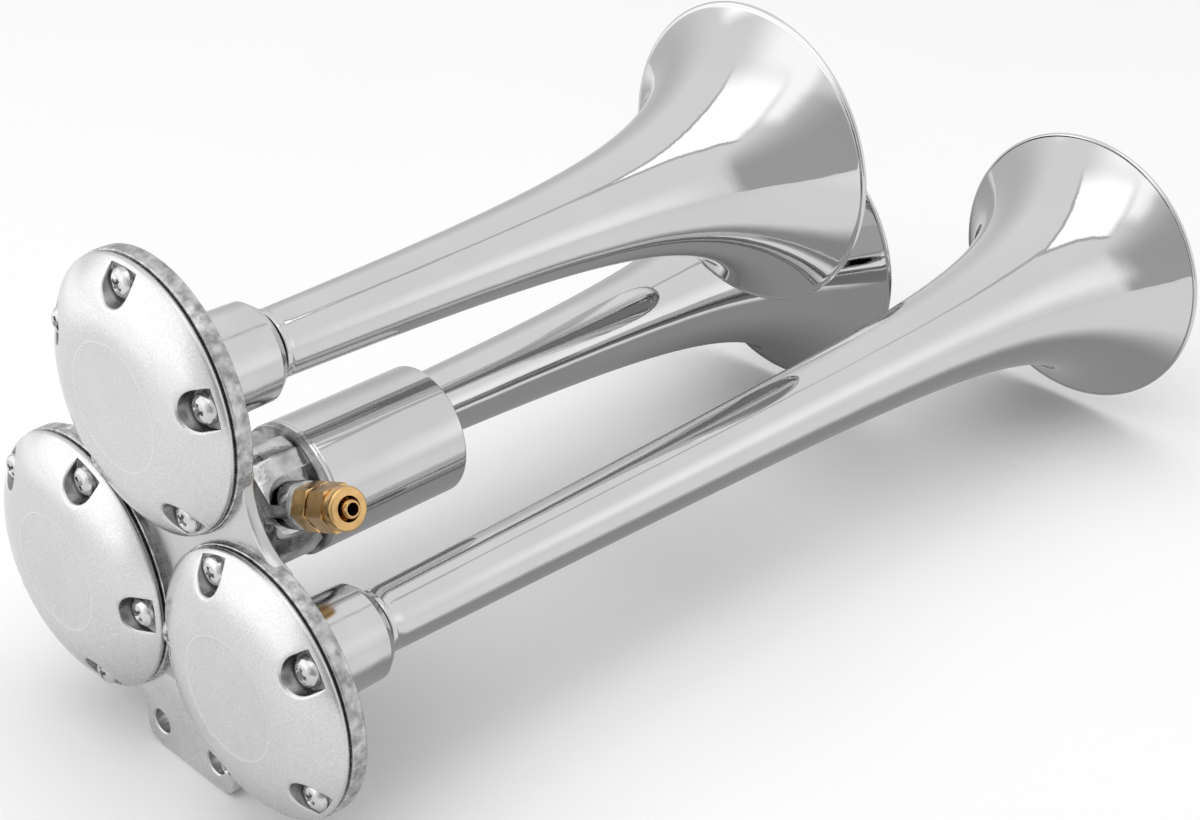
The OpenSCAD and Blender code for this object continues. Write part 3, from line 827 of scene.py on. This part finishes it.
def hole_cutter(x0, x1, r, lip, matrix):
    """A hole's cutter that widens to a rounded lip at both faces."""
    turns = [math.radians(90 * k / 4) for k in range(5)]
    profile = [(x0 - 1, 0), (x0 - 1, r + lip)]
    profile += [(x0 + lip * math.sin(t), r + lip * (1 - math.sin(t))) for t in turns]
    profile += [(x1 - lip * math.cos(t), r + lip * (1 - math.cos(t))) for t in turns]
    profile += [(x1 + 1, r + lip), (x1 + 1, 0)]
    return revolve("cutter", profile, matrix, segments=48)


web = prism("web", web_outline(), 2.7, 6.7, CENTRE, bevel=0.9, slot=WEB)
tab = prism("tab", tab_outline(), TAB_FRONT, TAB_BACK, CENTRE, bevel=0.7, slot=TAB)
for side in (-HOLE_SIDE, HOLE_SIDE):
    place = CENTRE @ Matrix.Translation((0, side, -CENTRE_Z))
    tab = boolean(tab, hole_cutter(TAB_FRONT, TAB_BACK, HOLE_R, HOLE_LIP, place), "DIFFERENCE")
pieces = [web, tab]

flange = fillet([(4.0, 9.0), (4.0, 12.0), (3.0, 12.0), (3.0, 31), (0.5, 31), (0.5, FLANGE_R),
                 (5.7, FLANGE_R), (5.7, 14)], [0, 0, 0, 0, 0, 0.6, 0.75, 0])
flange_slots = [RIM] * (len(flange) - 2) + [WEB] * 2
boss = fillet([(3.7, BOSS_R + 0.9), (6.7, BOSS_R + 0.55), (36.4, BOSS_R), (39.3, 13.2), (39.3, 9.0), (2.0, 9.0)],
              [0, 0, 0.9, 0.35, 0, 0], 6)
for key in AXES:
    m = axis_matrix(key)
    pieces.append(revolve("flange", flange, m, segments=160, closed=True, slot=flange_slots))
    pieces.append(revolve("boss", boss, m, closed=True, slot=BOSS))
    rib = (CENTRE @ Matrix.Translation((9.0, 0, 0)) @ Matrix.Rotation(math.radians(AXES[key]), 4, "X")
           @ Matrix.Rotation(math.radians(90), 4, "Z"))
    pieces.append(revolve("rib", [(RIB_R, 0), (RIB_R, RIB_R), (AXIS_R, RIB_R), (AXIS_R, 0)], rib,
                          segments=64, slot=BLOCK))
pieces.append(revolve("neck", [(3.7, 0), (3.7, NECK_R), (28, NECK_R), (28, 0)], CENTRE, segments=96, slot=BLOCK))

# The valve block, with the slot for the inlet
slot_shape = [polar(SLOT_R, 90 + 180 * k / 24) for k in range(25)] + [(10.0, -SLOT_R), (10.0, SLOT_R)]
block = boolean(prism("block", block_outline(), 27, 46, CENTRE, slot=BLOCK),
                prism("slot", slot_shape, 14.5, 34, INLET, slot=BLOCK), "DIFFERENCE")
block = bevelled(block, 0.35 * MM, 35)
smooth(block, 30)
pieces.append(block)
socket = fillet([(12.5, 0), (12.5, 7.3), (26, 7.3), (26, 0)], [0, 0, 0.5, 0], 4)
pieces.append(revolve("socket", socket, INLET, segments=80, slot=BLOCK))
seat = fillet([(45.0, 12), (45.0, CAN_R), (47.5, CAN_R), (47.5, 12)], [0, 0.5, 0.1, 0], 4)
pieces.append(revolve("seat", seat, CENTRE, closed=True, slot=FACE))
casting = joined("manifold_casting", pieces, CAST)
settle(casting, "manifold", "manifold")


# Canister

CAN_BACK, CAN_INNER_R, STUD_HOLE_R = 99.0, 19.5, 3.2
BUSH_R, BUSH_Z = 3.5, -13

can = fillet([(47.5, CAN_INNER_R), (47.5, 20.9), (48.6, CAN_R), (49.0, 20.8), (49.4, CAN_R), (97.5, CAN_R),
              (CAN_BACK, CAN_R), (CAN_BACK, STUD_HOLE_R), (97.5, STUD_HOLE_R), (97.5, CAN_INNER_R)],
             [0, 0.45, 0.2, 0.15, 0.2, 0, 1.8, 0.2, 0, 0], 6)
can = revolve("canister_can", can, CENTRE, segments=192, closed=True, angle=35)
bush = revolve("bush_hole", [(90, 0), (90, BUSH_R), (104, BUSH_R), (104, 0)],
               CENTRE @ Matrix.Translation((0, 0, BUSH_Z)), segments=48)
can = boolean(can, bush, "DIFFERENCE")
smooth(can, 35)
settle(new_object("canister_can", can, [can_plate]), "canister", "canister")


# Brass fitting, its nut and the washer

HEX_FLATS = 13
HEX_R = HEX_FLATS / math.sqrt(3)
CHAMFER_RATE = 1.7
EDGE_ROUND, EDGE_ANGLE, MERGE = 0.12, 28, 0.03
STEM = [(17.5, 4.9), (27.4, 4.9), (27.4, 5.2), (34, 5.2), (34.6, 5.2), (34.7, 5.0), (34.9, 5.2), (40, 5.2),
        (40.6, 2.7), (46.6, 2.55), (47.4, 2.95), (48.4, 2.75), (49, 2.45), (49, 1.9), (17.5, 1.9)]
STEM_ROUND = [0, 0, 0, 0, 0, 0, 0, 0, 0.3, 0.3, 0.3, 0.2, 0.2, 0.12, 0]


def hexagon(x0, x1, chamfer0, chamfer1):
    """A hexagonal bar with its corners turned off at both ends and its edges rounded."""
    bar = prism("bar", [polar(HEX_R, 60 * k) for k in range(6)], x0, x1, LOCAL)
    turned_off = revolve("chamfer", [
        (x0, 0), (x0, HEX_R - chamfer0 * CHAMFER_RATE), (x0 + chamfer0, HEX_R + 0.02),
        (x1 - chamfer1, HEX_R + 0.02), (x1, HEX_R - chamfer1 * CHAMFER_RATE), (x1, 0)], LOCAL, segments=96)
    mesh = bevelled(boolean(bar, turned_off, "INTERSECT"), EDGE_ROUND, EDGE_ANGLE)
    bm = bmesh.new()
    bm.from_mesh(mesh)
    bmesh.ops.remove_doubles(bm, verts=bm.verts, dist=MERGE)
    bm.to_mesh(mesh)
    bm.free()
    return mesh


def brass_piece(name, meshes, node):
    for mesh in meshes:
        mesh.transform(INLET)
    obj = joined(name, meshes, [yellow_brass])
    smooth(obj.data, 30)
    settle(obj, "brass", node)


body_hex = hexagon(27.2, 34.0, 0.3, 0.55)
stem = revolve("stem", fillet(STEM, STEM_ROUND, 3), LOCAL, segments=80, closed=True)
bore = revolve("bore", [(16, 0), (16, 1.9), (50, 1.9), (50, 0)], LOCAL, segments=80)
brass_piece("inlet_brass_body", [boolean(body_hex, bore, "DIFFERENCE"), stem], "inlet_fitting")

nut_hex = hexagon(35.0, 43.0, 0.5, 0.3)
thread = revolve("thread", [(34, 0), (34, 5.2), (41.5, 5.2), (41.5, 3.85), (44, 3.85), (44, 0)], LOCAL, segments=80)
collar = fillet([(42.6, 3.85), (42.6, 6.2), (43.2, 6.2), (43.6, 6.6), (47, 6.6), (47, 3.85)],
                [0, 0, 0.2, 0.4, 1.1, 0.35], 6)
collar = revolve("collar", collar, LOCAL, segments=96, closed=True)
brass_piece("compression_nut_brass", [boolean(nut_hex, thread, "DIFFERENCE"), collar], "compression_nut")

washer = fillet([(26, 4.9), (26, 7.3), (27.2, 7.3), (27.2, 4.9)], [0, 0.35, 0.35, 0], 4)
washer = revolve("inlet_washer_ring", washer, INLET, segments=96, closed=True)
settle(new_object("inlet_washer_ring", washer, [pale_washer]), "washer", "inlet_washer")


# Return spring of the valve, drawn at one length; the real one shortens as the plunger moves back

SPRING_R, WIRE_R, SPRING_TURNS, SPRING_FRONT, CORE_FRONT, STROKE = 3.4, 0.45, 6, 54.0, 69.5, 3.0
SPRING_RINGS, WIRE_SIDES = 216, 12


def spring_mesh():
    verts, faces, rings = [], [], []
    first = SPRING_FRONT + 0.05 + WIRE_R
    lead = CORE_FRONT - SPRING_FRONT - 2 * WIRE_R - 0.1
    for i in range(SPRING_RINGS + 1):
        turn = 2 * math.pi * SPRING_TURNS * i / SPRING_RINGS
        rings.append(list(range(len(verts), len(verts) + WIRE_SIDES)))
        for y, x in circle(WIRE_R, WIRE_SIDES):
            r = SPRING_R + y
            verts.append((first + lead * i / SPRING_RINGS + x, r * math.cos(turn), r * math.sin(turn)))
    for a, b in zip(rings, rings[1:]):
        faces += bridge(a, b)
    faces += [rings[0], rings[-1]]
    mesh = mesh_from("return_spring_wire", verts, faces, CENTRE)
    smooth(mesh, 50)
    return mesh


spring = new_object("return_spring_wire", spring_mesh(), [spring_plate])
settle(spring, "spring_steel", "return_spring")
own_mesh(spring)


# CAD nodes that keep their shape

KEPT = {
    "canister_nut": bright_steel, "cable_grommet": black_rubber, "coil_bobbin": bobbin_plastic,
    "coil_winding": copper_wire, "guide_tube": yellow_brass, "pole_core": turned_steel,
    "plunger": turned_steel, "plunger_seal": black_rubber,
}
for key in AXES:
    KEPT[f"{key}_diaphragm"] = spring_plate
    KEPT[f"{key}_gasket"] = black_rubber
    KEPT[f"{key}_throat_seal"] = black_rubber
for name, mat in KEPT.items():
    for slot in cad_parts[name].material_slots:
        slot.material = mat


# Stage: floor, light and camera

UP, DOWN, ALONG_Y = Vector((0, 0, 1)), Vector((0, 0, -1)), Vector((0, 1, 0))
FLOOR_Z = CAD_BOX[0][2] - 0.0004


def stage_plane(name, centre, width, height, facing, mat, up):
    """A flat rectangle that faces a direction, with UVs from 0 to 1."""
    n = facing.normalized()
    side = up.cross(n).normalized()
    rise = n.cross(side)
    corners = ((0, 0), (1, 0), (1, 1), (0, 1))
    verts = [centre + side * width * (u - 0.5) + rise * height * (v - 0.5) for u, v in corners]
    mesh = bpy.data.meshes.new(name)
    mesh.from_pydata([tuple(v) for v in verts], [], [(0, 1, 2, 3)])
    layer = mesh.uv_layers.new(name="UVMap")
    for i, uv in enumerate(corners):
        layer.data[i].uv = uv
    obj = new_object(name, mesh, [mat])
    return obj


def seen_rays(tree):
    """1 for camera, glossy and transmission rays, which see white; 0 for the rest."""
    path = add(tree, "ShaderNodeLightPath").outputs
    seen = maths(tree, "MAXIMUM", path["Is Camera Ray"], path["Is Glossy Ray"])
    return maths(tree, "MAXIMUM", seen, path["Is Transmission Ray"])


# The floor is paper near the horn and fades to plain white further off
floor_mat, tree, shader = start_material("floor_paper", 0.0)
paper = blend(tree, spread(tree, noise(tree, 6, 3), 0, 1), grey(0.95), grey(0.96))
tree.links.new(paper, shader.inputs["Base Color"])
shader.inputs["Roughness"].default_value = 0.9
shader.inputs["Specular IOR Level"].default_value = 0.1
place = add(tree, "ShaderNodeTexCoord").outputs["Object"]
reach = add(tree, "ShaderNodeVectorMath", {0: place, 1: (0.1, 0, FLOOR_Z)}, operation="DISTANCE").outputs["Value"]
far = maths(tree, "MULTIPLY", smoothstep(tree, reach, 0.6, 1.5), seen_rays(tree))
glow = add(tree, "ShaderNodeEmission", {"Color": (1, 1, 1, 1), "Strength": 1.0})
mix = add(tree, "ShaderNodeMixShader", {0: far, 1: shader.outputs[0], 2: glow.outputs[0]})
tree.links.new(mix.outputs[0], tree.nodes["Material Output"].inputs["Surface"])
stage_plane("floor", Vector((0.15, 0, FLOOR_Z)), 14, 14, UP, floor_mat, ALONG_Y)


def card_material(name, level, soft):
    """Light of one level whose edges fade out: soft gives the share of the width at left, right, bottom and top."""
    mat = bpy.data.materials.new(name)
    mat.use_nodes = True
    tree = mat.node_tree
    tree.nodes.clear()
    uv = add(tree, "ShaderNodeSeparateXYZ", {"Vector": add(tree, "ShaderNodeTexCoord").outputs["UV"]}).outputs
    left, right, bottom, top = [max(share, 0.002) for share in soft]
    value = smoothstep(tree, uv["X"], 0.0, left)
    for axis, start, end in (("X", 1.0, 1.0 - right), ("Y", 0.0, bottom), ("Y", 1.0, 1.0 - top)):
        value = maths(tree, "MULTIPLY", value, smoothstep(tree, uv[axis], start, end))
    glow = add(tree, "ShaderNodeEmission", {"Color": (level, level, level, 1), "Strength": 1.0})
    clear = add(tree, "ShaderNodeBsdfTransparent")
    mix = add(tree, "ShaderNodeMixShader", {0: value, 1: clear.outputs[0], 2: glow.outputs[0]})
    add(tree, "ShaderNodeOutputMaterial", {"Surface": mix.outputs[0]})
    mat.cycles.emission_sampling = "NONE"
    return mat


def direction(azimuth):
    a = math.radians(azimuth)
    return Vector((math.cos(a), math.sin(a), 0))


def card(name, centre, facing, width, height, level, soft, up=UP):
    """A reflector card, seen only in the metal."""
    obj = stage_plane(name, Vector(centre), width, height, facing, card_material(name, level, soft), up)
    for ray in ("camera", "diffuse", "shadow", "transmission", "volume_scatter"):
        setattr(obj, f"visible_{ray}", False)


# The room as the chrome mirrors it: lights above, cards beside the horn, and lighter and darker floor cards, which
# paint light near the covers and shade under and beyond the bells
LEVEL = FLOOR_Z + 0.001
BACK = direction(-134)
card("overhead_card", (-0.066, -0.18, 1.12), DOWN, 1.1, 0.95, 1.64, (0.35, 0.03, 0.03, 0.2), BACK)
card("overhead_frame", (-0.056, -0.18, 1.13), DOWN, 1.21, 1.04, 0.6, (0.5, 0.03, 0.03, 0.2), BACK)
card("overhead_glow", (-0.7, 0.02, 1.14), DOWN, 1.9, 1.6, 1.5, (0.4, 0.15, 0.4, 0.25), BACK)
card("overhead_arm", (0.93, -0.17, 1.12), DOWN, 0.6, 0.12, 0.6, (0.1, 0.4, 0.4, 0.4), direction(-90))
card("camera_side", (-0.25, -0.64, 0.54), direction(56), 1.27, 1.1, 0.5, (0.12, 0.2, 0.0, 0.65))
card("right_glow", (0.41, -0.35, 0.2), direction(110), 0.42, 0.3, 1.3, (0.4, 0.4, 0.3, 0.7))
card("covers_card", (-1.24, 0.86, 0.78), direction(-35), 3.0, 1.55, 1.7, (0.12, 0.2, 0.04, 0.2))
card("far_side", (0.47, 0.58, 0.34), direction(-110), 1.2, 0.7, 0.66, (0.45, 0.45, 0.0, 0.8))
# Painted shade: a darker floor card beyond the bells, where the trumpets' shadow falls, seen only in the metal
card("far_floor_painted_shade", (0.46, 0.27, LEVEL), UP, 0.8, 0.5, 0.5, (0.4, 0.4, 0.4, 0.3), ALONG_Y)
# Painted light: a bright floor card beside the covers, seen only in the metal
card("covers_floor_painted_light", (-0.62, 0.62, LEVEL), UP, 2.2, 1.1, 1.6, (0.2, 0.2, 0.25, 0.1), direction(135))
card("far_shadow", (0.34, 0.08, LEVEL + 0.001), UP, 0.28, 0.22, 0.14, (0.4, 0.4, 0.4, 0.4), ALONG_Y)
# Painted light: a bright floor card in front of the covers, over the floor's own shadow there, seen only in the
# metal
card("front_floor_painted_light", (-0.4, -0.12, LEVEL), UP, 0.8, 1.1, 1.12, (0.3, 0.3, 0.3, 0.3), ALONG_Y)
# Painted shade: a darker floor card under the bells, seen only in the metal
card("under_bells_painted_shade", (0.22, 0.01, LEVEL + 0.0005), UP, 0.56, 0.3, 0.37, (0.25, 0.25, 0.15, 0.35), ALONG_Y)

# A lamp for the floor and the dull pieces; the metal sees the cards instead
LAMP_SIZE, LAMP_RADIANCE = (4.2, 3.2), 1.33
lamp_data = bpy.data.lights.new("overhead", "AREA")
lamp_data.shape = "RECTANGLE"
lamp_data.size, lamp_data.size_y = LAMP_SIZE
lamp_data.energy = LAMP_RADIANCE * math.pi * LAMP_SIZE[0] * LAMP_SIZE[1]
lamp = bpy.data.objects.new("overhead", lamp_data)
bpy.context.scene.collection.objects.link(lamp)
lamp.location = (-0.4, 0.0, 2.0)
lamp.rotation_euler = DOWN.to_track_quat("-Z", "Y").to_euler()
lamp.visible_camera = False
lamp.visible_glossy = False

world = bpy.data.worlds.new("studio")
bpy.context.scene.world = world
world.use_nodes = True
tree = world.node_tree
tree.nodes.clear()
fill = add(tree, "ShaderNodeBackground", {"Color": (1, 1, 1, 1), "Strength": 0.4})
white = add(tree, "ShaderNodeBackground", {"Color": (1, 1, 1, 1), "Strength": 1.0})
both = add(tree, "ShaderNodeMixShader", {0: seen_rays(tree), 1: fill.outputs[0], 2: white.outputs[0]})
add(tree, "ShaderNodeOutputWorld", {"Surface": both.outputs[0]})
world.cycles.sampling_method = "NONE"

# The camera stands where the photograph's did, as fitted to the circles of the flanges, covers and bells
CAM_RIGHT = Vector((0.72033, -0.69358, 0.00844))
CAM_DOWN = Vector((-0.34041, -0.36409, -0.86693))
CAM_FORWARD = Vector((0.60435, 0.62160, -0.49837))
cam_data = bpy.data.cameras.new("camera")
cam_data.lens = 69.68
cam_data.sensor_width = 36
cam_data.sensor_fit = "HORIZONTAL"
cam_data.clip_start = 0.01
cam = bpy.data.objects.new("camera", cam_data)
bpy.context.scene.collection.objects.link(cam)
pose = Matrix((CAM_RIGHT, -CAM_DOWN, -CAM_FORWARD)).transposed().to_4x4()
pose.translation = Vector((-0.3101, -0.4910, 0.4423))
cam.matrix_world = pose
bpy.context.scene.camera = cam
bpy.context.scene.view_settings.view_transform = "Standard"
